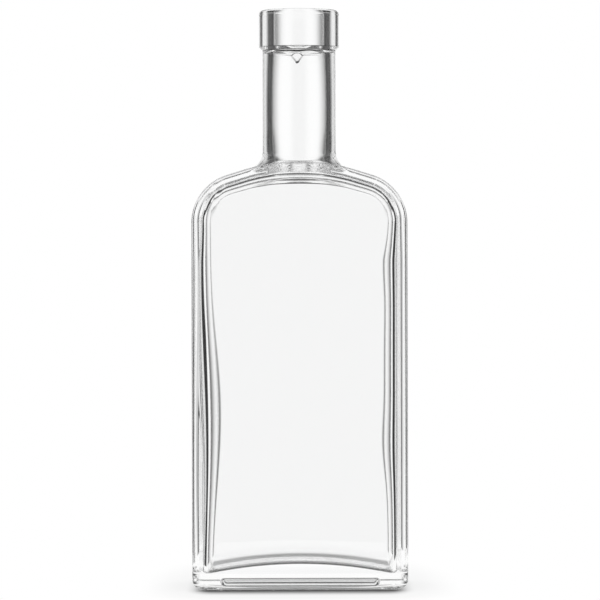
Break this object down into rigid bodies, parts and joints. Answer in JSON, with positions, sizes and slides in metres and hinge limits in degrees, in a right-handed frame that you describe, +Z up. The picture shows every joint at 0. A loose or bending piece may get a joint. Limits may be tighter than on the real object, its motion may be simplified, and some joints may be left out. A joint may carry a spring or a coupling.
{
  "type": "glass bottle",
  "caption": "Flat oblong clear-glass bottle with broad rounded shoulders, a straight round neck and a band lip with an open cork mouth. Holds liquid and stands on its base.",
  "frame": {"origin": "centre of the base, on the surface the bottle stands on", "axes": "+Z up along the neck's axis, X along the width, the front face looks along -Y"},
  "size_m": [0.0814, 0.055, 0.22],
  "materials": {
    "glass": "clear colourless flint glass, fire-polished"
  },
  "bodies": {
    "root": {"glass_bottle": "glass"}
  },
  "joints": []
}
